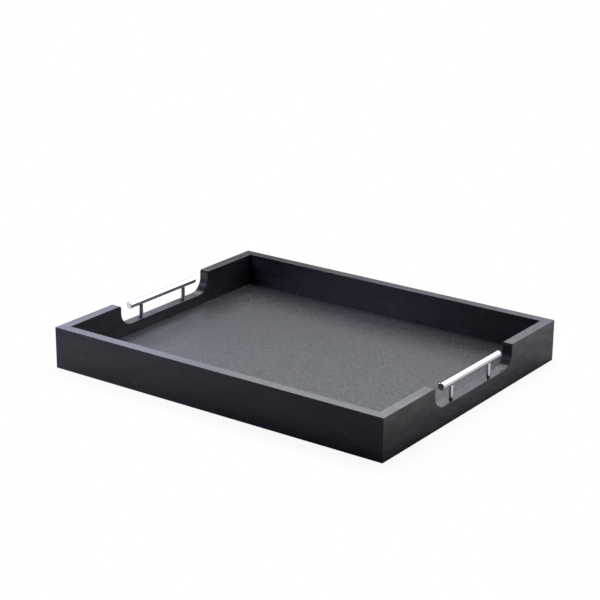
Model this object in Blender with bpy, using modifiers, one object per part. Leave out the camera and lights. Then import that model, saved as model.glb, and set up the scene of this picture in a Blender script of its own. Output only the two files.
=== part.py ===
"""A butlers tray: a mitred wooden frame round a grooved-in floor, with a bar handle in each end.

Lengths are in metres. The tray stands on Z = 0 with its long side along X, and its near side is -Y.
"""
import math

import bmesh
import bpy
from mathutils import Matrix

# Frame: four rails on edge, mitred at the corners
TRAY_LENGTH = 0.540
TRAY_WIDTH = 0.440
TRAY_HEIGHT = 0.060
RAIL_THICKNESS = 0.015
EDGE_EASE = 0.0006

# Floor: a stiff base in a groove round the inside of the frame, and a thin sheet on it
GROOVE_DEPTH = 0.004
GROOVE_SILL = 0.0056
BASE_THICKNESS = 0.005
LINER_THICKNESS = 0.0008

# Spline: a loose tongue in each mitre
SPLINE_WIDTH = 0.009
SPLINE_THICKNESS = 0.003
SPLINE_END_WOOD = 0.006

# Handle: a bar on two posts
POST_SPACING = 0.096
POST_RADIUS = 0.0033
BAR_RADIUS = 0.005
BAR_OVERHANG = 0.026
BAR_CHAMFER = 0.0007
BAR_BELOW_RIM = 0.003
SPIGOT_RADIUS = 0.002
SPIGOT_LENGTH = 0.005

# Notch in each end rail, round its handle
NOTCH_DEPTH = 0.032
NOTCH_SIDE_ROOM = 0.025
NOTCH_INNER_RADIUS = 0.021
NOTCH_RIM_RADIUS = 0.004

# Screw and washer that hold each post from under the rail
SCREW_RADIUS = 0.002
SCREW_TIP = 0.0004
SCREW_GRIP = 0.008
HEAD_RADIUS = 0.0035
HEAD_HEIGHT = 0.0026
HEAD_RECESS = 0.0005
DRIVE_WIDTH = 0.0009
DRIVE_LENGTH = 0.0044
DRIVE_DEPTH = 0.0014
WASHER_RADIUS = 0.004
WASHER_THICKNESS = 0.0005

# Clearance between pieces that touch, and how far a cutter runs past what it cuts
CONTACT_GAP = 0.0003
CUT_OVERRUN = 0.005
WELD_DISTANCE = 0.00001

# Facets
ROUND_SEGMENTS = 40
SMALL_SEGMENTS = 24
INNER_ARC_STEPS = 10
RIM_ARC_STEPS = 4
EASE_SEGMENTS = 2
SHARP_ANGLE = math.radians(35)

# Places that follow from the sizes above
WELL_LENGTH = TRAY_LENGTH - 2 * RAIL_THICKNESS
WELL_WIDTH = TRAY_WIDTH - 2 * RAIL_THICKNESS
BASE_BOTTOM = GROOVE_SILL + CONTACT_GAP
BASE_TOP = BASE_BOTTOM + BASE_THICKNESS
GROOVE_TOP = BASE_TOP + CONTACT_GAP
RAIL_MIDDLE_X = TRAY_LENGTH / 2 - RAIL_THICKNESS / 2
RAIL_MIDDLE_Y = TRAY_WIDTH / 2 - RAIL_THICKNESS / 2
SPLINE_BOTTOM = GROOVE_TOP + SPLINE_END_WOOD
SPLINE_TOP = TRAY_HEIGHT - SPLINE_END_WOOD
BAR_LENGTH = POST_SPACING + 2 * BAR_OVERHANG
BAR_AXIS = TRAY_HEIGHT - BAR_BELOW_RIM - BAR_RADIUS
BAR_BOTTOM = BAR_AXIS - BAR_RADIUS
SPIGOT_TOP = BAR_BOTTOM + SPIGOT_LENGTH
NOTCH_FLOOR = TRAY_HEIGHT - NOTCH_DEPTH
NOTCH_HALF_WIDTH = BAR_LENGTH / 2 + NOTCH_SIDE_ROOM
POST_FOOT = NOTCH_FLOOR + CONTACT_GAP
SCREW_END = POST_FOOT + SCREW_GRIP
SCREW_HOLE_RADIUS = SCREW_RADIUS + CONTACT_GAP
HEAD_TOP = HEAD_RECESS + HEAD_HEIGHT
WASHER_BOTTOM = HEAD_TOP + CONTACT_GAP
WASHER_TOP = WASHER_BOTTOM + WASHER_THICKNESS
COUNTERBORE_TOP = WASHER_TOP + CONTACT_GAP

# Name, colour, roughness and metallic value of each finish
STAINED_WOOD = ("stained_wood", (0.016, 0.015, 0.018), 0.42, 0.0)
BASE_BOARD = ("base_board", (0.014, 0.013, 0.014), 0.60, 0.0)
PEBBLED_SHEET = ("pebbled_sheet", (0.022, 0.022, 0.024), 0.45, 0.0)
BARE_PLYWOOD = ("bare_plywood", (0.48, 0.34, 0.20), 0.70, 0.0)
POLISHED_CHROME = ("polished_chrome", (0.86, 0.86, 0.87), 0.06, 1.0)
ZINC_STEEL = ("zinc_steel", (0.55, 0.56, 0.58), 0.35, 1.0)

PIECES = "butlers_tray"
CUTTERS = "cutters"


def start_collections():
    """Remove what the scene holds and make one collection for the pieces and one for the cutters."""
    for obj in list(bpy.data.objects):
        bpy.data.objects.remove(obj, do_unlink=True)
    for name in (PIECES, CUTTERS):
        if name in bpy.data.collections:
            bpy.data.collections.remove(bpy.data.collections[name])
        bpy.context.scene.collection.children.link(bpy.data.collections.new(name))


def place(name, data, collection, location=(0, 0, 0), rotation=(0, 0, 0)):
    """Put a mesh or a curve in the scene as an object of its own."""
    obj = bpy.data.objects.new(name, data)
    bpy.data.collections[collection].objects.link(obj)
    obj.location = location
    obj.rotation_euler = rotation
    if collection == CUTTERS:
        obj.hide_render = True
        obj.display_type = "WIRE"
    return obj


def box(name, size, centre, collection=CUTTERS, turn=0):
    """A box about its centre, turned about Z."""
    bm = bmesh.new()
    bmesh.ops.create_cube(bm, size=1, matrix=Matrix.Diagonal((*size, 1)))
    mesh = bpy.data.meshes.new(name)
    bm.to_mesh(mesh)
    bm.free()
    return place(name, mesh, collection, centre, (0, 0, turn))


def rod(name, radius, length, centre, collection=CUTTERS, segments=SMALL_SEGMENTS, tilt=0):
    """An upright cylinder about its centre, tilted about X."""
    bm = bmesh.new()
    bmesh.ops.create_cone(
        bm, cap_ends=True, segments=segments, radius1=radius, radius2=radius, depth=length
    )
    mesh = bpy.data.meshes.new(name)
    bm.to_mesh(mesh)
    bm.free()
    return place(name, mesh, collection, centre, (tilt, 0, 0))


def upright_rod(name, radius, bottom, top, spot, collection=CUTTERS, segments=SMALL_SEGMENTS):
    """A cylinder that stands at a spot (x, y) between two heights."""
    return rod(name, radius, top - bottom, (*spot, (bottom + top) / 2), collection, segments)


def level_rod(name, radius, length, centre, collection=CUTTERS):
    """A cylinder that lies along Y."""
    return rod(name, radius, length, centre, collection, ROUND_SEGMENTS, math.radians(90))


def turned(name, profile, spot, closed=False):
    """Turn a profile of (radius, height) points about an upright axis at a spot (x, y)."""
    count = len(profile)
    edges = [(i, (i + 1) % count) for i in range(count if closed else count - 1)]
    mesh = bpy.data.meshes.new(name)
    mesh.from_pydata([(radius, 0, height) for radius, height in profile], edges, [])
    obj = place(name, mesh, PIECES, (*spot, 0))
    screw = obj.modifiers.new("turn", "SCREW")
    screw.steps = SMALL_SEGMENTS
    screw.render_steps = SMALL_SEGMENTS
    screw.use_merge_vertices = True
    screw.merge_threshold = WELD_DISTANCE
    return obj


def evaluated_mesh(obj):
    """The welded mesh of an object with its modifiers."""
    bpy.context.view_layer.update()
    depsgraph = bpy.context.evaluated_depsgraph_get()
    mesh = bpy.data.meshes.new_from_object(obj.evaluated_get(depsgraph))
    bm = bmesh.new()
    bm.from_mesh(mesh)
    bmesh.ops.remove_doubles(bm, verts=bm.verts, dist=WELD_DISTANCE)
    bm.to_mesh(mesh)
    bm.free()
    return mesh


def outline_cutter(name, points, thickness, matrix):
    """A cutter from a flat outline, as thick as given about its own plane."""
    curve = bpy.data.curves.new(name, "CURVE")
    curve.dimensions = "2D"
    curve.fill_mode = "BOTH"
    curve.extrude = thickness / 2
    spline = curve.splines.new("POLY")
    spline.points.add(len(points) - 1)
    spline.use_cyclic_u = True
    for point, (x, y) in zip(spline.points, points):
        point.co = (x, y, 0, 1)
    drawn = place(name + "_outline", curve, CUTTERS)
    drawn.matrix_world = matrix
    cutter = place(name, evaluated_mesh(drawn), CUTTERS)
    cutter.matrix_world = matrix
    bpy.data.objects.remove(drawn, do_unlink=True)
    return cutter


def shape_with(obj, cutter, operation="DIFFERENCE"):
    """Cut, join or keep what an object shares with another."""
    boolean = obj.modifiers.new(operation.lower() + "_" + cutter.name, "BOOLEAN")
    boolean.object = cutter
    boolean.operation = operation
    boolean.solver = "EXACT"


def shade_round(obj):
    """Shade the round sides smooth and keep the ends sharp."""
    obj.data.shade_smooth()
    obj.data.set_sharp_from_angle(angle=SHARP_ANGLE)


def give_finish(obj, finish):
    """Give a piece its own material."""
    finish_name, colour, roughness, metallic = finish
    material = bpy.data.materials.new(obj.name + "_" + finish_name)
    material.use_nodes = True
    shader = material.node_tree.nodes["Principled BSDF"]
    shader.inputs["Base Color"].default_value = (*colour, 1)
    shader.inputs["Roughness"].default_value = roughness
    shader.inputs["Metallic"].default_value = metallic
    obj.data.materials.clear()
    obj.data.materials.append(material)


def arc(centre, radius, start, end, steps):
    """Points on an arc, its angles in degrees."""
    turns = [math.radians(start + (end - start) * step / steps) for step in range(steps + 1)]
    return [(centre[0] + radius * math.cos(turn), centre[1] + radius * math.sin(turn)) for turn in turns]


def notch_cutter():
    """One cutter for both notches: upright sides, round inner corners and eased rim corners."""
    rim_centre = (-NOTCH_HALF_WIDTH - NOTCH_RIM_RADIUS, TRAY_HEIGHT - NOTCH_RIM_RADIUS)
    inner_centre = (-NOTCH_HALF_WIDTH + NOTCH_INNER_RADIUS, NOTCH_FLOOR + NOTCH_INNER_RADIUS)
    left = [(rim_centre[0], TRAY_HEIGHT + CUT_OVERRUN)]
    left += arc(rim_centre, NOTCH_RIM_RADIUS, 90, 0, RIM_ARC_STEPS)
    left += arc(inner_centre, NOTCH_INNER_RADIUS, 180, 270, INNER_ARC_STEPS)
    right = [(-y, z) for y, z in reversed(left)]
    along_x = Matrix(((0, 0, 1, 0), (1, 0, 0, 0), (0, 1, 0, 0), (0, 0, 0, 1)))
    return outline_cutter("notch_cutter", left + right, TRAY_LENGTH + 2 * CUT_OVERRUN, along_x)


def ease_edges(mesh):
    """Round over the convex edges, and leave the corners inside the well square."""
    bm = bmesh.new()
    bm.from_mesh(mesh)
    bmesh.ops.recalc_face_normals(bm, faces=bm.faces)
    edges = [edge for edge in bm.edges if edge.is_convex and edge.calc_face_angle(0) > SHARP_ANGLE]
    bmesh.ops.bevel(
        bm, geom=edges, offset=EDGE_EASE, segments=EASE_SEGMENTS, profile=0.5, affect="EDGES"
    )
    bm.to_mesh(mesh)
    bm.free()


def frame_ring():
    """The frame in one piece, before it is parted: notches, eased edges and the floor's groove."""
    middle = (0, 0, TRAY_HEIGHT / 2)
    ring = box("frame_ring", (TRAY_LENGTH, TRAY_WIDTH, TRAY_HEIGHT), middle)
    well_size = (WELL_LENGTH, WELL_WIDTH, TRAY_HEIGHT + 2 * CUT_OVERRUN)
    shape_with(ring, box("well_cutter", well_size, middle))
    shape_with(ring, notch_cutter())
    mesh = evaluated_mesh(ring)
    ring.modifiers.clear()
    ring.data = mesh
    ease_edges(mesh)
    groove_size = (WELL_LENGTH + 2 * GROOVE_DEPTH, WELL_WIDTH + 2 * GROOVE_DEPTH, GROOVE_TOP - GROOVE_SILL)
    groove_middle = (0, 0, (GROOVE_SILL + GROOVE_TOP) / 2)
    shape_with(ring, box("groove_cutter", groove_size, groove_middle))
    return ring


def mitre_wedge(name, half_run, half_across, turn):
    """What one rail keeps of the frame in plan: a trapezium, drawn for the -Y side and turned."""
    parting = CONTACT_GAP / 2 * math.sqrt(2)
    outer_x = half_run + CUT_OVERRUN - parting
    inner_x = half_run - RAIL_THICKNESS - CUT_OVERRUN - parting
    outer_y = -half_across - CUT_OVERRUN
    inner_y = -half_across + RAIL_THICKNESS + CUT_OVERRUN
    points = [(-outer_x, outer_y), (outer_x, outer_y), (inner_x, inner_y), (-inner_x, inner_y)]
    matrix = Matrix.Translation((0, 0, TRAY_HEIGHT / 2)) @ Matrix.Rotation(turn, 4, "Z")
    return outline_cutter(name, points, TRAY_HEIGHT + 2 * CUT_OVERRUN, matrix)


def make_splines():
    """A loose tongue across each mitre, and the cutter of its blind slot."""
    size = (SPLINE_WIDTH, SPLINE_THICKNESS, SPLINE_TOP - SPLINE_BOTTOM)
    slot_size = [side + 2 * CONTACT_GAP for side in size]
    middle_z = (SPLINE_BOTTOM + SPLINE_TOP) / 2
    slots = {}
    for end_name, side_y in (("front", -1), ("back", 1)):
        for side_name, side_x in (("left", -1), ("right", 1)):
            corner = end_name + "_" + side_name
            centre = (side_x * RAIL_MIDDLE_X, side_y * RAIL_MIDDLE_Y, middle_z)
            turn = math.radians(-45 * side_x * side_y)
            spline = box("corner_spline_" + corner, size, centre, PIECES, turn)
            give_finish(spline, BARE_PLYWOOD)
            slots[corner] = box("spline_slot_" + corner, slot_size, centre, CUTTERS, turn)
    return slots


def make_rail(name, ring, wedge, slots):
    """One rail: its share of the frame between two mitres, with a spline slot in each mitre."""
    for slot in slots:
        shape_with(wedge, slot)
    rail = place(name, evaluated_mesh(ring), PIECES, ring.location)
    shape_with(rail, wedge, "INTERSECT")
    give_finish(rail, STAINED_WOOD)
    return rail


def make_frame():
    """Four rails, parted from one frame at its mitres, and the splines between them."""
    slots = make_splines()
    ring = frame_ring()
    half_length = TRAY_LENGTH / 2
    half_width = TRAY_WIDTH / 2
    sides = (
        ("front_rail", half_length, half_width, 0, ("front_left", "front_right")),
        ("right_end_rail", half_width, half_length, 90, ("front_right", "back_right")),
        ("back_rail", half_length, half_width, 180, ("back_left", "back_right")),
        ("left_end_rail", half_width, half_length, 270, ("front_left", "back_left")),
    )
    rails = {}
    for name, half_run, half_across, degrees, corners in sides:
        wedge = mitre_wedge(name + "_wedge", half_run, half_across, math.radians(degrees))
        rails[name] = make_rail(name, ring, wedge, [slots[corner] for corner in corners])
    return rails


def make_floor():
    """The stiff base in the groove and the thin pebbled sheet on it."""
    seat = GROOVE_DEPTH - CONTACT_GAP
    base_size = (WELL_LENGTH + 2 * seat, WELL_WIDTH + 2 * seat, BASE_THICKNESS)
    base = box("base_panel", base_size, (0, 0, BASE_BOTTOM + BASE_THICKNESS / 2), PIECES)
    give_finish(base, BASE_BOARD)
    liner_size = (WELL_LENGTH - 2 * CONTACT_GAP, WELL_WIDTH - 2 * CONTACT_GAP, LINER_THICKNESS)
    liner = box("floor_liner", liner_size, (0, 0, GROOVE_TOP + LINER_THICKNESS / 2), PIECES)
    give_finish(liner, PEBBLED_SHEET)


def make_bar(side_name, x, spots):
    """The bar that the hand closes on: a solid rod with a blind hole over each post."""
    bar = level_rod(side_name + "_handle_bar", BAR_RADIUS, BAR_LENGTH, (x, 0, BAR_AXIS), PIECES)
    chamfer = bar.modifiers.new("end_chamfer", "BEVEL")
    chamfer.width = BAR_CHAMFER
    chamfer.segments = 1
    chamfer.limit_method = "ANGLE"
    chamfer.angle_limit = SHARP_ANGLE
    for end_name, spot in spots:
        hole_name = f"{side_name}_bar_hole_{end_name}"
        hole_radius = SPIGOT_RADIUS + CONTACT_GAP
        hole_top = SPIGOT_TOP + CONTACT_GAP
        shape_with(bar, upright_rod(hole_name, hole_radius, BAR_BOTTOM - CUT_OVERRUN, hole_top, spot))
    shade_round(bar)
    give_finish(bar, POLISHED_CHROME)


def make_post(name, spot, saddle):
    """A post: its foot takes the screw, its head is saddled to the bar, its spigot enters the bar."""
    post = upright_rod(name, POST_RADIUS, POST_FOOT, BAR_AXIS, spot, PIECES, ROUND_SEGMENTS)
    shape_with(post, saddle)
    neck = BAR_BOTTOM - SPIGOT_LENGTH
    shape_with(post, upright_rod(name + "_spigot", SPIGOT_RADIUS, neck, SPIGOT_TOP, spot), "UNION")
    bore_top = SCREW_END + CONTACT_GAP
    bore = upright_rod(name + "_bore", SCREW_HOLE_RADIUS, POST_FOOT - CUT_OVERRUN, bore_top, spot)
    shape_with(post, bore)
    shade_round(post)
    give_finish(post, POLISHED_CHROME)


def drill_rail(rail, name, spot):
    """The screw's hole through the rail, with a counterbore for the washer and the head."""
    hole_top = NOTCH_FLOOR + CUT_OVERRUN
    shape_with(rail, upright_rod(name + "_hole", SCREW_HOLE_RADIUS, -CUT_OVERRUN, hole_top, spot))
    seat_radius = WASHER_RADIUS + CONTACT_GAP
    counterbore = upright_rod(name + "_counterbore", seat_radius, -CUT_OVERRUN, COUNTERBORE_TOP, spot)
    shape_with(rail, counterbore)


def make_screw(name, spot):
    """A cheese-head screw with a cross recess, its head down in the counterbore."""
    profile = [
        (0, SCREW_END),
        (SCREW_RADIUS - SCREW_TIP, SCREW_END),
        (SCREW_RADIUS, SCREW_END - SCREW_TIP),
        (SCREW_RADIUS, HEAD_TOP),
        (HEAD_RADIUS, HEAD_TOP),
        (HEAD_RADIUS, HEAD_RECESS),
        (0, HEAD_RECESS),
    ]
    screw = turned(name, profile, spot)
    size = (DRIVE_LENGTH, DRIVE_WIDTH, 2 * DRIVE_DEPTH)
    for degrees in (0, 90):
        recess_name = f"{name}_recess_{degrees}"
        recess = box(recess_name, size, (*spot, HEAD_RECESS), CUTTERS, math.radians(degrees))
        shape_with(screw, recess)
    give_finish(screw, ZINC_STEEL)


def make_washer(name, spot):
    """A plain washer between the screw's head and the wood."""
    profile = [
        (SCREW_HOLE_RADIUS, WASHER_TOP),
        (WASHER_RADIUS, WASHER_TOP),
        (WASHER_RADIUS, WASHER_BOTTOM),
        (SCREW_HOLE_RADIUS, WASHER_BOTTOM),
    ]
    give_finish(turned(name, profile, spot, closed=True), ZINC_STEEL)


def make_handles(rails):
    """A bar on two posts in each notch, each post screwed from below."""
    for side_name, side_x in (("left", -1), ("right", 1)):
        x = side_x * RAIL_MIDDLE_X
        spots = (("front", (x, -POST_SPACING / 2)), ("back", (x, POST_SPACING / 2)))
        make_bar(side_name, x, spots)
        saddle_radius = BAR_RADIUS + CONTACT_GAP
        saddle = level_rod(side_name + "_saddle", saddle_radius, BAR_LENGTH, (x, 0, BAR_AXIS))
        for end_name, spot in spots:
            make_post(f"{side_name}_handle_post_{end_name}", spot, saddle)
            drill_rail(rails[side_name + "_end_rail"], f"{side_name}_{end_name}", spot)
            make_screw(f"{side_name}_handle_screw_{end_name}", spot)
            make_washer(f"{side_name}_handle_washer_{end_name}", spot)


start_collections()
make_floor()
make_handles(make_frame())
bpy.context.view_layer.update()
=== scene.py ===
"""The looks of a butlers tray: black-stained wooden rails, a pebbled floor and polished bar handles.

Lengths are in metres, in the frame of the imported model: +X to the right, +Z up, the near side at -Y.
"""
import math

import bmesh
import bpy
from mathutils import Matrix, Vector


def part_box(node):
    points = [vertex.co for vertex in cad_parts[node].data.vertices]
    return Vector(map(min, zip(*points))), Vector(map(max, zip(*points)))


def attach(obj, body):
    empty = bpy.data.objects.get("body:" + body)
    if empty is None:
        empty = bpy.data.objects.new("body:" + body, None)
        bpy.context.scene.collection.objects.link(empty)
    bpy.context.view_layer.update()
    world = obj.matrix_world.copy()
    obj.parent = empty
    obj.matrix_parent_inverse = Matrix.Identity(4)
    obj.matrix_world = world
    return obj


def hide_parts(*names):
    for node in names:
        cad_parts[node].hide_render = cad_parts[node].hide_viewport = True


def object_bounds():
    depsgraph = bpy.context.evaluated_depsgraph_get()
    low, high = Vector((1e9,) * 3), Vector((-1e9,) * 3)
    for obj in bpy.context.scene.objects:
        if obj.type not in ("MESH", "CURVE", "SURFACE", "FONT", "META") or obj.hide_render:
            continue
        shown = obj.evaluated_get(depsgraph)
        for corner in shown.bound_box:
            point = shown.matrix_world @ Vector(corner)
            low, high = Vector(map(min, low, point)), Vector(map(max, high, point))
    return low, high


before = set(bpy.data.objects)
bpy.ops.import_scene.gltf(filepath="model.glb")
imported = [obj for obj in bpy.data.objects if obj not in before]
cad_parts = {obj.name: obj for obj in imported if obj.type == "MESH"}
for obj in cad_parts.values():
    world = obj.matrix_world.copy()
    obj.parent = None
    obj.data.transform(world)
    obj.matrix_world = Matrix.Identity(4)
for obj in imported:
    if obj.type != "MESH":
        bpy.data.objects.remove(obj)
cad_low, cad_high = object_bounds()

# The view: the tray is seen from its near right corner and a little above, through a long lens.
# The aim is the middle of the picture, measured from the tray's middle at floor level.
VIEW_AZIMUTH = math.radians(35.47)
VIEW_ELEVATION = math.radians(19.12)
VIEW_ROLL = math.radians(0.45)
VIEW_AIM_RIGHT = -0.01007
VIEW_AIM_UP = 0.08929
VIEW_DISTANCE = 2.4574
VIEW_LENS = 105.12
VIEW_SENSOR = 36

camera = bpy.data.objects.new("camera", bpy.data.cameras.new("camera"))
bpy.context.scene.collection.objects.link(camera)
bpy.context.scene.camera = camera
camera.data.lens = VIEW_LENS
camera.data.sensor_width = VIEW_SENSOR
facing = Matrix.Rotation(VIEW_AZIMUTH, 4, "Z") @ Matrix.Rotation(math.pi / 2 - VIEW_ELEVATION, 4, "X")
stand = Matrix.Translation((VIEW_AIM_RIGHT, VIEW_AIM_UP, VIEW_DISTANCE))
camera.matrix_world = facing @ stand @ Matrix.Rotation(VIEW_ROLL, 4, "Z")
bpy.context.scene.view_settings.view_transform = "Standard"


# The studio: a white table top that takes the tray's soft shadow, and soft light panels round it. A wide one
# behind is bright at the top and dimmer below, one stands at the right, a weak one at the left and a small
# lilac one at the near left, and one hangs overhead. A pale strip of wall ends the table at the back.
# In what mirrors it, the table also glows brighter towards its right and its left: painted reflection.
class Wire:
    """One output of a node. Arithmetic on it adds Math nodes."""

    def __init__(self, finish, socket):
        self.finish = finish
        self.socket = socket

    def __add__(self, other):
        return self.finish.maths("ADD", self, other)

    def __sub__(self, other):
        return self.finish.maths("SUBTRACT", self, other)

    def __rsub__(self, other):
        return self.finish.maths("SUBTRACT", other, self)

    def __mul__(self, other):
        return self.finish.maths("MULTIPLY", self, other)

    __radd__ = __add__
    __rmul__ = __mul__


class Finish:
    """The nodes of a material or of the world."""

    def __init__(self, tree):
        self.tree = tree
        tree.nodes.clear()

    def node(self, kind, settings=None, inputs=None, output=None):
        """Add a node: its settings first, then the values or links of its sockets."""
        node = self.tree.nodes.new(kind)
        for name, value in (settings or {}).items():
            setattr(node, name, value)
        for name, value in (inputs or {}).items():
            socket = self.socket(node.inputs, name)
            if isinstance(value, Wire):
                self.tree.links.new(value.socket, socket)
            elif socket.type == "RGBA":
                socket.default_value = (*value, 1)
            else:
                socket.default_value = value
        if node.outputs:
            return Wire(self, self.socket(node.outputs, output))

    @staticmethod
    def socket(sockets, name):
        """The socket in use with a name or a number, or the first in use."""
        in_use = [socket for socket in sockets if socket.enabled]
        if isinstance(name, int):
            return in_use[name]
        return next(socket for socket in in_use if name in (None, socket.name))

    def maths(self, operation, first, second):
        return self.node("ShaderNodeMath", {"operation": operation}, {0: first, 1: second})

    def vector_maths(self, operation, *vectors):
        return self.node("ShaderNodeVectorMath", {"operation": operation}, dict(enumerate(vectors)))

    def along(self, axis, vector):
        """A vector's share along X, Y or Z."""
        return self.node("ShaderNodeSeparateXYZ", {}, {"Vector": vector}, axis)

    def place(self):
        """The point of the surface, in the tray's frame."""
        return self.node("ShaderNodeTexCoord", output="Object")

    def smooth_step(self, value, start, end):
        """0 below the start, 1 above the end, and smooth between them."""
        limits = {"Value": value, "From Min": start, "From Max": end}
        return self.node("ShaderNodeMapRange", {"interpolation_type": "SMOOTHSTEP"}, limits)

    def mixed(self, share, first, second):
        """A colour between two colours."""
        colours = {"Factor": share, "A": first, "B": second}
        return self.node("ShaderNodeMix", {"data_type": "RGBA"}, colours)

    def surface(self, shader):
        self.node("ShaderNodeOutputMaterial", {}, {"Surface": shader})


def new_material(name):
    material = bpy.data.materials.new(name)
    material.use_nodes = True
    return material, Finish(material.node_tree)


def select_only(piece=None):
    """Deselect everything, then select and activate one piece."""
    bpy.ops.object.select_all(action="DESELECT")
    if piece:
        bpy.context.view_layer.objects.active = piece
        piece.select_set(True)


def give(piece, material):
    piece.data.materials.clear()
    piece.data.materials.append(material)


TABLE_SIZE = 12
TABLE_DROP = 0.0002
TABLE_COLOUR = (0.42, 0.42, 0.42)
TABLE_SEEN = (0.95, 0.95, 0.95)
SHADOW_REACH = 0.06
SHADOW_SHARE = 0.09

# Where a painted glow on the table, seen only in what mirrors it, starts to show, and where it shows in full
RIGHT_PAINTED_GLOW = (0.29, 0.42)
LEFT_PAINTED_GLOW = (0.10, -0.50)
LEFT_PAINTED_GLOW_SHARE = 0.4
BESIDE_PAINTED_GLOW_X = (-0.28, -0.34)
BESIDE_PAINTED_GLOW_Y = (-0.24, -0.16)


def white_table():
    """A pale sheet that shows as plain white, with a faint shadow close round the tray. In reflections it
    glows with painted light towards its right and its left.
    """
    material, finish = new_material("white_table")
    place = finish.place()
    beyond = finish.vector_maths("SUBTRACT", finish.vector_maths("ABSOLUTE", place), cad_high)
    reach = finish.vector_maths("LENGTH", finish.vector_maths("MAXIMUM", beyond, (0, 0, 0)))
    near = 1 - finish.smooth_step(reach, 0, SHADOW_REACH)
    x = finish.along("X", place)
    y = finish.along("Y", place)
    # Painted reflection: the table glows in reflections only, at its right, its left and beside the near
    # left corner
    right = finish.smooth_step(x, *RIGHT_PAINTED_GLOW)
    left = LEFT_PAINTED_GLOW_SHARE * finish.smooth_step(x, *LEFT_PAINTED_GLOW)
    beside = finish.smooth_step(x, *BESIDE_PAINTED_GLOW_X) * finish.smooth_step(y, *BESIDE_PAINTED_GLOW_Y)
    left = left + beside * (1 - left)
    straight = finish.node("ShaderNodeLightPath", output="Is Camera Ray")
    mirrored = finish.node("ShaderNodeLightPath", output="Is Glossy Ray")
    through = finish.node("ShaderNodeLightPath", output="Is Transmission Ray")
    # Camera rays see plain white; mirrored rays see the painted glow at the table's sides
    white_and_painted_glow = straight * (1 - SHADOW_SHARE * near) + (mirrored + through) * (left + right)
    colour = finish.mixed(straight, TABLE_COLOUR, TABLE_SEEN)
    sheet = finish.node("ShaderNodeBsdfDiffuse", {}, {"Color": colour})
    glow = finish.node("ShaderNodeEmission", {}, {"Strength": 1.0})
    finish.surface(finish.node("ShaderNodeMixShader", {}, {0: white_and_painted_glow, 1: sheet, 2: glow}))
    return material


select_only()
bpy.ops.mesh.primitive_plane_add(size=TABLE_SIZE, location=(0, 0, -TABLE_DROP))
bpy.ops.object.transform_apply()
table = bpy.context.object
table.name = "table"
give(table, white_table())

PLAIN_LIGHT = (0.97, 1.00, 1.04)
COOL_LIGHT = (0.96, 1.00, 1.05)
PALE_BLUE_LIGHT = (0.98, 0.99, 1.14)
BLUISH_LIGHT = (0.93, 0.97, 1.22)
LILAC_LIGHT = (0.94, 0.93, 1.36)
BEHIND = {"heading": 35, "distance": 1.1}
BACK_FOOT = {"heights": (0.42, 0.85), **BEHIND}
OVERHEAD_SIZE = 0.7
OVERHEAD_PLACE = (0, 0.4, 1.3)
ROOM_GLOW = 0.02


def new_lamp(name, width, height, colour, glow):
    """A soft panel of light that shows as bright as white card times its glow."""
    lamp = bpy.data.objects.new(name, bpy.data.lights.new(name, "AREA"))
    bpy.context.scene.collection.objects.link(lamp)
    lamp.data.shape = "RECTANGLE"
    lamp.data.size = width
    lamp.data.size_y = height
    lamp.data.color = colour
    lamp.data.energy = glow * math.pi * width * height
    lamp.visible_camera = False
    return lamp


def stand_panel(name, heading, distance, sides, heights, colour, glow):
    """An upright panel that faces the tray. Its heading turns from +Y towards -X, in degrees."""
    lamp = new_lamp(name, sides[1] - sides[0], heights[1] - heights[0], colour, glow)
    upright = Matrix.Rotation(math.pi / 2, 4, "X")
    centre = Matrix.Translation(((sides[0] + sides[1]) / 2, distance, (heights[0] + heights[1]) / 2))
    lamp.matrix_world = Matrix.Rotation(math.radians(heading), 4, "Z") @ centre @ upright.inverted()


stand_panel("back_panel", **BEHIND, sides=(-0.8, 0.9), heights=(0.85, 1.30), colour=COOL_LIGHT, glow=3.9)
stand_panel("back_panel_left_foot", **BACK_FOOT, sides=(-0.8, -0.2), colour=BLUISH_LIGHT, glow=2.05)
stand_panel("back_panel_foot", **BACK_FOOT, sides=(-0.2, 0.25), colour=PLAIN_LIGHT, glow=2.15)
stand_panel("back_panel_right_foot", **BACK_FOOT, sides=(0.25, 0.9), colour=PALE_BLUE_LIGHT, glow=1.7)
stand_panel("wall_strip", **BEHIND, sides=(-1.3, 0.9), heights=(0.0, 0.42), colour=PLAIN_LIGHT, glow=0.24)
stand_panel(
    "right_panel", heading=-35, distance=1.2, sides=(-0.75, 0.6), heights=(0.22, 1.3),
    colour=PALE_BLUE_LIGHT, glow=2.0
)
stand_panel(
    "left_panel", heading=80, distance=0.8, sides=(-0.4, 0.4), heights=(0.3, 0.7),
    colour=BLUISH_LIGHT, glow=0.45
)
stand_panel(
    "near_left_panel", heading=134, distance=0.60, sides=(-0.15, 0.15), heights=(0.28, 0.52),
    colour=LILAC_LIGHT, glow=10.5
)
overhead = new_lamp("overhead_panel", OVERHEAD_SIZE, OVERHEAD_SIZE, colour=PLAIN_LIGHT, glow=7.0)
overhead.location = OVERHEAD_PLACE

bpy.context.scene.world = bpy.data.worlds.new("room")
bpy.context.scene.world.use_nodes = True
room = Finish(bpy.context.scene.world.node_tree)
seen_straight = room.node("ShaderNodeLightPath", output="Is Camera Ray")
strength = room.maths("MAXIMUM", seen_straight, ROOM_GLOW)
glow = room.node("ShaderNodeBackground", {}, {"Strength": strength})
room.node("ShaderNodeOutputWorld", {}, {"Surface": glow})


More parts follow.
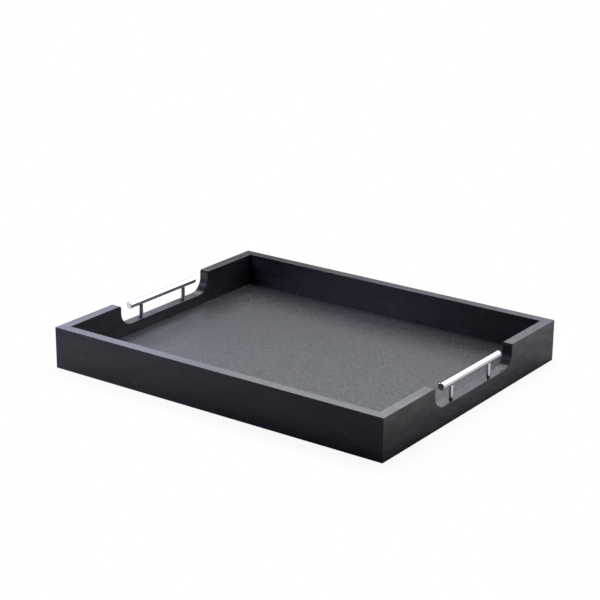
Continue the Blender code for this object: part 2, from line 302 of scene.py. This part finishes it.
# The frame: four rails on edge, mitred and glued at the corners, of a close-grained wood stained black and
# lacquered satin. Each end rail has a cut-out round its handle. Every outer edge is eased by sanding.
FIT_GAP = 0.0003
TRAY_LENGTH, TRAY_WIDTH, TRAY_HEIGHT = cad_high - cad_low
RAIL_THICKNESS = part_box("front_rail")[1].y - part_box("front_rail")[0].y
MITRE_LINE = 0.00005
MITRE_ANGLE = math.radians(45)
NOTCH_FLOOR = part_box("right_handle_post_back")[0].z - FIT_GAP
NOTCH_HALF_WIDTH = 0.099
NOTCH_INNER_RADIUS = 0.021
NOTCH_RIM_RADIUS = 0.004
EDGE_EASE = 0.0006
GROOVE_DEPTH = 0.004
SPLINE_WIDTH = 0.009
SPLINE_THICKNESS = 0.003
SCREW_HOLE_RADIUS = 0.0023
CUT_OVERRUN = 0.005
EASE_STEPS = 4
INNER_STEPS = 20
RIM_STEPS = 8
ROD_SIDES = 48
FLAT_ANGLE = math.radians(1)
SHARP_ANGLE = math.radians(35)
SMOOTH_ANGLE = math.radians(30)
FACES_UP = 0.9
SAME_PLACE = 0.00001

# The stain's colours, and the width and length of the marks in the wood
STAIN_DEEP = (0.0120, 0.0117, 0.0150)
STAIN_THIN = (0.0230, 0.0226, 0.0275)
STAIN_IN_PORES = (0.0060, 0.0060, 0.0072)
STREAK_SIZE = (0.006, 0.160)
FIBRE_SIZE = (0.0008, 0.030)
PORE_SIZE = (0.0005, 0.007)
MOTTLE_SIZE = (0.010, 0.030)

# Where the noise of each mark starts and ends to show
STREAK_EDGE = (0.30, 0.70)
PORE_EDGE = (0.62, 0.74)
MOTTLE_EDGE = (0.38, 0.62)
END_FACE_EDGE = (0.5, 0.9)

# What each mark adds to the tone, the relief and the gloss
STREAK_TONE = 0.4
FIBRE_TONE = 0.2
MOTTLE_TONE = 0.4
FIBRE_HEIGHT = 0.4
GRAIN_DEPTH = 0.00002
GRAIN_STRENGTH = 0.5
LACQUER_ROUGHNESS = 0.19
STREAK_ROUGHNESS = 0.05
MOTTLE_ROUGHNESS = 0.03
PORE_ROUGHNESS = 0.20
NOTCH_ROUGHNESS = 0.10
LACQUER_IOR = 1.45
COAT = 0.05
COAT_MOTTLE_LONG_RAIL = 0.07
COAT_MOTTLE_END_RAIL = 0.20
COAT_ROUGHNESS = 0.25


def edit(piece):
    """Go into edit mode on one piece, with nothing in it selected."""
    select_only(piece)
    bpy.ops.object.mode_set(mode="EDIT")
    bpy.ops.mesh.select_all(action="DESELECT")


def end_edit():
    bpy.ops.object.mode_set(mode="OBJECT")


def choose(kind, test):
    """In edit mode, select only the faces or the edges that pass a test."""
    bpy.ops.mesh.select_mode(type={"faces": "FACE", "edges": "EDGE"}[kind])
    bpy.ops.mesh.select_all(action="DESELECT")
    mesh = bmesh.from_edit_mesh(bpy.context.object.data)
    for item in getattr(mesh, kind):
        if test(item):
            item.select_set(True)
    bmesh.update_edit_mesh(bpy.context.object.data)


def middle(item):
    """The middle of an edge or a face."""
    return sum((vert.co for vert in item.verts), Vector()) / len(item.verts)


def convex_and_sharp(edge):
    return len(edge.link_faces) == 2 and edge.is_convex and edge.calc_face_angle() > SHARP_ANGLE


def lift(height):
    """Extrude the selected faces straight up."""
    bpy.ops.mesh.extrude_region_move(TRANSFORM_OT_translate={"value": (0, 0, height)})


def round_off(size, steps):
    """Bevel the selected edges."""
    bpy.ops.mesh.bevel(offset=size, segments=steps, affect="EDGES")


def apply_modifier(piece, kind, **settings):
    select_only(piece)
    modifier = piece.modifiers.new(kind.lower(), kind)
    for name, value in settings.items():
        setattr(modifier, name, value)
    bpy.ops.object.modifier_apply(modifier=modifier.name)


def join_or_cut(piece, tool, operation):
    """Join a shape to a piece or cut it out of the piece, and remove the shape."""
    apply_modifier(piece, "BOOLEAN", object=tool, operation=operation, solver="EXACT")
    bpy.data.objects.remove(tool, do_unlink=True)


def cut_away(piece, cutter):
    join_or_cut(piece, cutter, "DIFFERENCE")


def new_box(size, centre, turn=0):
    select_only()
    bpy.ops.mesh.primitive_cube_add(size=1, location=centre, rotation=(0, 0, turn), scale=size)
    bpy.ops.object.transform_apply()
    return bpy.context.object


def new_rod(radius, bottom, top, spot):
    """A rod that stands at a spot (x, y) between two heights."""
    select_only()
    height = top - bottom
    centre = (*spot, (bottom + top) / 2)
    bpy.ops.mesh.primitive_cylinder_add(vertices=ROD_SIDES, radius=radius, depth=height, location=centre)
    bpy.ops.object.transform_apply()
    return bpy.context.object


def shade(piece):
    """Shade the rounded parts smooth and keep the flat faces flat."""
    select_only(piece)
    bpy.ops.object.shade_smooth_by_angle(angle=SMOOTH_ANGLE)
    apply_modifier(piece, "WEIGHTED_NORMAL", keep_sharp=True)


def notch_corner(edge, height):
    """Whether an edge crosses an end rail at a side of its notch, at a height."""
    spot = middle(edge)
    span = edge.verts[1].co - edge.verts[0].co
    across = abs(span.x) > RAIL_THICKNESS / 2 and abs(span.y) + abs(span.z) < SAME_PLACE
    at_side = abs(abs(spot.y) - NOTCH_HALF_WIDTH) < SAME_PLACE
    return across and at_side and abs(spot.z - height) < SAME_PLACE


def make_ring():
    """The frame in one piece: a ring lifted from its footprint, higher outside the notches."""
    select_only()
    bpy.ops.mesh.primitive_plane_add(size=1)
    ring = bpy.context.object
    ring.name = "ring"
    edit(ring)
    bpy.ops.mesh.select_all(action="SELECT")
    bpy.ops.transform.resize(value=(TRAY_LENGTH, TRAY_WIDTH, 1))
    bpy.ops.mesh.inset(thickness=RAIL_THICKNESS, use_even_offset=True)
    bpy.ops.mesh.delete(type="FACE")
    for side in (-1, 1):
        bpy.ops.mesh.select_all(action="SELECT")
        bpy.ops.mesh.bisect(plane_co=(0, side * NOTCH_HALF_WIDTH, 0), plane_no=(0, 1, 0))
    bpy.ops.mesh.select_all(action="SELECT")
    lift(NOTCH_FLOOR)
    bpy.ops.mesh.select_all(action="SELECT")
    bpy.ops.mesh.normals_make_consistent(inside=False)
    choose("faces", lambda face: face.normal.z > FACES_UP and abs(middle(face).y) > NOTCH_HALF_WIDTH)
    lift(TRAY_HEIGHT - NOTCH_FLOOR)
    bpy.ops.mesh.select_all(action="SELECT")
    bpy.ops.mesh.dissolve_limited(angle_limit=FLAT_ANGLE)
    choose("edges", lambda edge: notch_corner(edge, NOTCH_FLOOR))
    round_off(NOTCH_INNER_RADIUS, INNER_STEPS)
    choose("edges", lambda edge: notch_corner(edge, TRAY_HEIGHT))
    round_off(NOTCH_RIM_RADIUS, RIM_STEPS)
    choose("edges", convex_and_sharp)
    round_off(EDGE_EASE, EASE_STEPS)
    end_edit()
    base_low, base_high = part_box("base_panel")
    groove_x = TRAY_LENGTH / 2 - RAIL_THICKNESS + GROOVE_DEPTH
    groove_y = TRAY_WIDTH / 2 - RAIL_THICKNESS + GROOVE_DEPTH
    groove_size = (2 * groove_x, 2 * groove_y, base_high.z - base_low.z + 2 * FIT_GAP)
    cut_away(ring, new_box(groove_size, (base_low + base_high) / 2))
    return ring


def make_rail(name, ring, outward, corners):
    """One rail: a copy of the ring, sawn off at two mitres, with a slot for a spline in each."""
    rail = ring.copy()
    rail.data = ring.data.copy()
    rail.name = "wooden_" + name
    bpy.context.scene.collection.objects.link(rail)
    across = Vector((abs(outward.y), abs(outward.x), 0))
    edge_middle = Vector((outward.x * TRAY_LENGTH / 2, outward.y * TRAY_WIDTH / 2, 0))
    half_run = (across.x * TRAY_LENGTH + across.y * TRAY_WIDTH) / 2
    edit(rail)
    for side in (-1, 1):
        inward = (outward - side * across).normalized()
        corner = edge_middle + side * half_run * across + inward * MITRE_LINE
        bpy.ops.mesh.select_all(action="SELECT")
        bpy.ops.mesh.bisect(plane_co=corner, plane_no=inward, use_fill=True, clear_inner=True)
    end_edit()
    for corner in corners:
        low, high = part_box("corner_spline_" + corner)
        turn = MITRE_ANGLE if corner in ("front_right", "back_left") else -MITRE_ANGLE
        size = (SPLINE_WIDTH + 2 * FIT_GAP, SPLINE_THICKNESS + 2 * FIT_GAP, high.z - low.z + 2 * FIT_GAP)
        cut_away(rail, new_box(size, (low + high) / 2, turn))
    return rail


def drill_rail(rail, side):
    """The holes of an end rail's two screws, each with a counterbore for the head and the washer."""
    for end in ("front", "back"):
        low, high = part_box(f"{side}_handle_washer_{end}")
        spot = ((low + high) / 2).to_2d()
        seat_radius = (high.x - low.x) / 2 + FIT_GAP
        cut_away(rail, new_rod(SCREW_HOLE_RADIUS, -CUT_OVERRUN, NOTCH_FLOOR + CUT_OVERRUN, spot))
        cut_away(rail, new_rod(seat_radius, -CUT_OVERRUN, high.z + FIT_GAP, spot))


def noise(place, per_metre, detail):
    """Cloudy noise with so many clouds to the metre, from 0 to 1."""
    values = {"Vector": place, "Scale": per_metre, "Detail": detail}
    return place.finish.node("ShaderNodeTexNoise", {}, values)


def relief(height, depth, strength):
    """The normal of a surface that stands out by a depth where the height is 1."""
    values = {"Strength": strength, "Distance": depth, "Height": height}
    return height.finish.node("ShaderNodeBump", {}, values)


def dress(finish, values):
    """Give a material the standard shader with these values."""
    finish.surface(finish.node("ShaderNodeBsdfPrincipled", {}, values))


def stained_wood(name, along_x, shift):
    """Black stain under satin lacquer: faint streaks and short open pores along the grain."""
    material, finish = new_material(name)
    place = finish.place()

    def grain(size, detail):
        """Noise drawn out along the grain, from 0 to 1."""
        across, along = size
        scale = (1 / along, 1 / across, 1 / across) if along_x else (1 / across, 1 / along, 1 / across)
        drawn = finish.node("ShaderNodeMapping", {}, {"Vector": place, "Location": shift, "Scale": scale})
        return noise(drawn, 1.0, detail)

    streaks = finish.smooth_step(grain(STREAK_SIZE, detail=3.0), *STREAK_EDGE)
    fibres = grain(FIBRE_SIZE, detail=2.0)
    pores = finish.smooth_step(grain(PORE_SIZE, detail=1.0), *PORE_EDGE)
    mottle = finish.smooth_step(grain(MOTTLE_SIZE, detail=3.0), *MOTTLE_EDGE)
    tone = streaks * STREAK_TONE + fibres * FIBRE_TONE + mottle * MOTTLE_TONE
    stain = finish.mixed(tone, STAIN_DEEP, STAIN_THIN)
    coat_mottle = COAT_MOTTLE_LONG_RAIL if along_x else COAT_MOTTLE_END_RAIL

    # The notch's inner faces are those between its sides that don't face along X
    facing = finish.vector_maths("ABSOLUTE", finish.node("ShaderNodeNewGeometry", output="Normal"))
    from_middle = finish.along("Y", finish.vector_maths("ABSOLUTE", place))
    between = finish.maths("LESS_THAN", from_middle, NOTCH_HALF_WIDTH + SAME_PLACE)
    in_notch = between * (1 - finish.smooth_step(finish.along("X", facing), *END_FACE_EDGE))

    grain_roughness = streaks * STREAK_ROUGHNESS + mottle * MOTTLE_ROUGHNESS + pores * PORE_ROUGHNESS
    dress(finish, {
        "Base Color": finish.mixed(pores, stain, STAIN_IN_PORES),
        "Roughness": LACQUER_ROUGHNESS + grain_roughness + in_notch * NOTCH_ROUGHNESS,
        "IOR": LACQUER_IOR,
        "Coat Weight": (COAT + mottle * coat_mottle) * (1 - pores),
        "Coat Roughness": COAT_ROUGHNESS,
        "Normal": relief(fibres * FIBRE_HEIGHT - pores, GRAIN_DEPTH, GRAIN_STRENGTH),
    })
    return material


# Each rail's name, the way it faces, its corners, and where its grain starts
RAILS = (
    ("front_rail", (0, -1), ("front_left", "front_right"), (0.3, 0.7, 0.1)),
    ("back_rail", (0, 1), ("back_left", "back_right"), (5.2, 2.4, 1.7)),
    ("left_end_rail", (-1, 0), ("front_left", "back_left"), (9.1, 6.5, 3.9)),
    ("right_end_rail", (1, 0), ("front_right", "back_right"), (4.8, 8.3, 6.6)),
)
ring = make_ring()
for name, (x, y), corners, shift in RAILS:
    rail = make_rail(name, ring, Vector((x, y, 0)), corners)
    if x:
        drill_rail(rail, name.split("_")[0])
    shade(rail)
    give(rail, stained_wood("stained_wood_" + name, x == 0, shift))
    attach(rail, "root")
    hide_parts(name)
bpy.data.objects.remove(ring, do_unlink=True)


# The corner splines: a loose tongue of birch plywood glued in the slots of each mitre, so that the corner
# holds. They are out of sight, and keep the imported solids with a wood's finish.
PLY_WAVE_SCALE = 1 / 0.012
PLY_EDGE = (0.35, 0.65)
PLY_PALE = (0.50, 0.36, 0.21)
PLY_DARK = (0.36, 0.24, 0.13)
PLY_ROUGHNESS = 0.60
PLY_FIBRES_PER_METRE = 900.0
PLY_FIBRE_DEPTH = 0.00005
PLY_FIBRE_STRENGTH = 0.4
PLY_FIBRE_ROUGHNESS = 0.2


def bare_plywood():
    material, finish = new_material("bare_plywood")
    place = finish.place()
    wave = {"Vector": place, "Scale": PLY_WAVE_SCALE}
    plies = finish.node("ShaderNodeTexWave", {"bands_direction": "DIAGONAL"}, wave)
    fibres = noise(place, PLY_FIBRES_PER_METRE, detail=3.0)
    dress(finish, {
        "Base Color": finish.mixed(finish.smooth_step(plies, *PLY_EDGE), PLY_PALE, PLY_DARK),
        "Roughness": PLY_ROUGHNESS + fibres * PLY_FIBRE_ROUGHNESS,
        "Normal": relief(fibres, PLY_FIBRE_DEPTH, PLY_FIBRE_STRENGTH),
    })
    return material


plywood = bare_plywood()
for corner in ("front_left", "front_right", "back_left", "back_right"):
    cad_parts["corner_spline_" + corner].material_slots[0].material = plywood


# The base: a 5 mm board painted matt black, held in a groove round the inside of the frame.
# Its underside shows from below.
PAINT_DARK = (0.012, 0.011, 0.012)
PAINT_PALE = (0.017, 0.016, 0.017)
PAINT_CLOUDS_PER_METRE = 14.0
PAINT_ROUGHNESS = 0.52
STIPPLES_PER_METRE = 1100.0
STIPPLE_DEPTH = 0.00005
STIPPLE_STRENGTH = 0.5
STIPPLE_ROUGHNESS = 0.12


def painted_board():
    material, finish = new_material("painted_board")
    place = finish.place()
    stipple = noise(place, STIPPLES_PER_METRE, detail=3.0)
    clouds = noise(place, PAINT_CLOUDS_PER_METRE, detail=2.0)
    dress(finish, {
        "Base Color": finish.mixed(clouds, PAINT_DARK, PAINT_PALE),
        "Roughness": PAINT_ROUGHNESS + stipple * STIPPLE_ROUGHNESS,
        "Normal": relief(stipple, STIPPLE_DEPTH, STIPPLE_STRENGTH),
    })
    return material


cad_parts["base_panel"].material_slots[0].material = painted_board()


# The floor sheet: a thin charcoal sheet bonded to the base, with a fine pebbled surface so that
# crockery doesn't slide. It is rubbed a little smoother in places.
PEBBLE_SIZE = 0.0013
PEBBLE_HEIGHT = 0.00012
PEBBLE_STRENGTH = 1.0
DOME_SHARE = 0.5
CLUMP_SIZE = 0.0027
CLUMP_EDGE = (0.35, 0.65)
RUB_SIZE = 0.06
SHEET_LIGHT = (0.046, 0.047, 0.049)
SHEET_DARK = (0.028, 0.0285, 0.0295)
SHEET_ROUGHNESS = 0.27
RUB_ROUGHNESS = 0.08
CLUMP_ROUGHNESS = 0.29


def pebbled_sheet():
    material, finish = new_material("pebbled_sheet")
    place = finish.place()
    pebbles = {"Vector": place, "Scale": 1 / PEBBLE_SIZE}
    domes = finish.node("ShaderNodeTexVoronoi", {"feature": "SMOOTH_F1"}, pebbles, "Distance")
    clumps = noise(place, 1 / CLUMP_SIZE, detail=2.0)
    speckle = finish.smooth_step(clumps, *CLUMP_EDGE)
    rubbed = noise(place, 1 / RUB_SIZE, detail=3.0)
    dress(finish, {
        "Base Color": finish.mixed(speckle, SHEET_DARK, SHEET_LIGHT),
        "Roughness": SHEET_ROUGHNESS + rubbed * RUB_ROUGHNESS + speckle * CLUMP_ROUGHNESS,
        "Normal": relief((1 - domes) * DOME_SHARE + clumps, PEBBLE_HEIGHT, PEBBLE_STRENGTH),
    })
    return material


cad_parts["floor_liner"].material_slots[0].material = pebbled_sheet()


# The handles: a solid bar on two posts at each end, all polished and chromed. Each post is saddled to
# the bar, with a spigot pressed into it, and stands on the floor of the notch.
POST_RADIUS = 0.0033
BAR_RADIUS = 0.005
BAR_CHAMFER = 0.0007
SPIGOT_RADIUS = 0.002
SPIGOT_LENGTH = 0.005
FOOT_CHAMFER = 0.0002
CHAMFER_STEPS = 3
FOOT_STEPS = 2
BAR_SIDES = 96
CHROME = (0.68, 0.68, 0.69)
CHROME_HAZY = (0.64, 0.64, 0.65)
CHROME_ROUGHNESS = 0.04
HAZE_PER_METRE = 130.0
HAZE_EDGE = (0.45, 0.75)
HAZE_ROUGHNESS = 0.04


def polished_chrome():
    """Mirror chrome with the faint hazy marks that handling leaves."""
    material, finish = new_material("polished_chrome")
    marks = noise(finish.place(), HAZE_PER_METRE, detail=4.0)
    dress(finish, {
        "Base Color": finish.mixed(marks, CHROME, CHROME_HAZY),
        "Metallic": 1.0,
        "Roughness": CHROME_ROUGHNESS + finish.smooth_step(marks, *HAZE_EDGE) * HAZE_ROUGHNESS,
    })
    return material


def level_rod(radius, length, centre):
    """A rod that lies along Y."""
    select_only()
    bpy.ops.mesh.primitive_cylinder_add(
        vertices=BAR_SIDES, radius=radius, depth=length, location=centre, rotation=(math.pi / 2, 0, 0)
    )
    bpy.ops.object.transform_apply()
    return bpy.context.object


def make_bar(side, spots):
    """A bar with chamfered ends and a blind hole underneath for each post's spigot."""
    low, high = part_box(side + "_handle_bar")
    bar = level_rod(BAR_RADIUS, high.y - low.y, (low + high) / 2)
    edit(bar)
    choose("edges", convex_and_sharp)
    round_off(BAR_CHAMFER, CHAMFER_STEPS)
    end_edit()
    hole_top = low.z + SPIGOT_LENGTH + FIT_GAP
    for spot in spots:
        cut_away(bar, new_rod(SPIGOT_RADIUS + FIT_GAP, low.z - CUT_OVERRUN, hole_top, spot))
    bar.name = side + "_polished_bar"
    return bar


def make_post(side, end, spot):
    """A post with its saddle under the bar, its spigot on top and the screw's bore in its foot."""
    low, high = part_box(f"{side}_handle_post_{end}")
    bar_low, bar_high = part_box(side + "_handle_bar")
    bar_middle = (bar_low + bar_high) / 2
    post = new_rod(POST_RADIUS, low.z, bar_middle.z, spot)
    edit(post)
    choose("edges", lambda edge: middle(edge).z < low.z + SAME_PLACE and convex_and_sharp(edge))
    round_off(FOOT_CHAMFER, FOOT_STEPS)
    end_edit()
    cut_away(post, level_rod(BAR_RADIUS + FIT_GAP, bar_high.y - bar_low.y, bar_middle))
    join_or_cut(post, new_rod(SPIGOT_RADIUS, bar_low.z - SPIGOT_LENGTH, high.z, spot), "UNION")
    bore_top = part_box(f"{side}_handle_screw_{end}")[1].z + FIT_GAP
    cut_away(post, new_rod(SCREW_HOLE_RADIUS, low.z - CUT_OVERRUN, bore_top, spot))
    post.name = f"{side}_polished_post_{end}"
    return post


chrome = polished_chrome()
for side in ("left", "right"):
    spots = {}
    for end in ("front", "back"):
        low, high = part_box(f"{side}_handle_post_{end}")
        spots[end] = ((low + high) / 2).to_2d()
    made = {side + "_handle_bar": make_bar(side, spots.values())}
    for end, spot in spots.items():
        made[f"{side}_handle_post_{end}"] = make_post(side, end, spot)
    for node, piece in made.items():
        shade(piece)
        give(piece, chrome)
        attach(piece, "root")
        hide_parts(node)


# The screws and washers: a zinc-plated cheese-head screw with a washer goes up through the end rail into
# each post. Their heads lie in counterbores in the rail's bottom edge.
ZINC_DARK = (0.48, 0.50, 0.53)
ZINC_PALE = (0.62, 0.62, 0.62)
ZINC_ROUGHNESS = 0.25
ZINC_MOTTLE_ROUGHNESS = 0.2
ZINC_MOTTLE_PER_METRE = 700.0


def zinc_steel():
    material, finish = new_material("zinc_steel")
    mottle = noise(finish.place(), ZINC_MOTTLE_PER_METRE, detail=4.0)
    dress(finish, {
        "Base Color": finish.mixed(mottle, ZINC_DARK, ZINC_PALE),
        "Metallic": 1.0,
        "Roughness": ZINC_ROUGHNESS + mottle * ZINC_MOTTLE_ROUGHNESS,
    })
    return material


zinc = zinc_steel()
for side in ("left", "right"):
    for end in ("front", "back"):
        for kind in ("screw", "washer"):
            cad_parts[f"{side}_handle_{kind}_{end}"].material_slots[0].material = zinc
